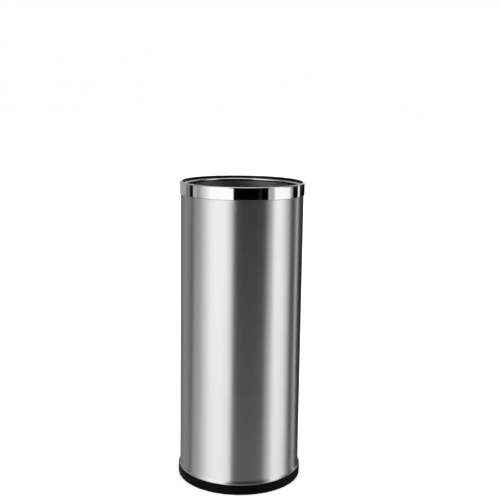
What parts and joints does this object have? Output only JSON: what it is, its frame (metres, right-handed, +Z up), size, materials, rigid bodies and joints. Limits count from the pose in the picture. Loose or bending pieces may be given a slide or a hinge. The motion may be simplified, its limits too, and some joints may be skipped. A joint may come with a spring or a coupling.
{
  "type": "umbrella stand",
  "caption": "Tall round steel umbrella stand with a mirror collar, a rubber base ring and a galvanised liner that lifts out by a wire bail.",
  "frame": {"origin": "centre of the base ring's floor face", "axes": "+Z up along the barrel; the bail folds towards -Y; the ears are on the X axis; the barrel's weld is at +Y"},
  "size_m": [0.2528, 0.2528, 0.6085],
  "materials": {
    "brushed_barrel": "brushed stainless sheet, satin, fine grain round the barrel",
    "mirror_collar": "mirror polished stainless",
    "base_rubber": "moulded black rubber with a low sheen",
    "black_enamel": "black stoved enamel on pressed steel",
    "galvanised_sheet": "galvanised sheet steel, satin grey with a faint spangle",
    "galvanised_wire": "drawn galvanised wire",
    "zinc_hardware": "bright zinc plated"
  },
  "bodies": {
    "barrel": {"barrel_shell": "brushed_barrel", "top_collar": "mirror_collar", "base_ring": "base_rubber", "base_pan": "black_enamel", "base_ring_washers": "zinc_hardware", "base_ring_screws": "zinc_hardware"},
    "liner": {"liner_wall": "galvanised_sheet", "liner_rim_wire": "galvanised_wire", "liner_bottom": "galvanised_sheet", "liner_ear_right": "galvanised_sheet", "liner_ear_left": "galvanised_sheet", "liner_ear_rivets": "zinc_hardware"},
    "bail": {"bail_handle": "galvanised_wire"}
  },
  "joints": [
    {"name": "liner_lift", "type": "slide", "parent": "barrel", "child": "liner", "axis": [0, 0, 1], "range_m": [0, 0.62]},
    {"name": "bail_swing", "type": "hinge", "parent": "liner", "child": "bail", "pos_m": [0, 0, 0.583], "axis": [-1, 0, 0], "range_deg": [0, 180]}
  ]
}
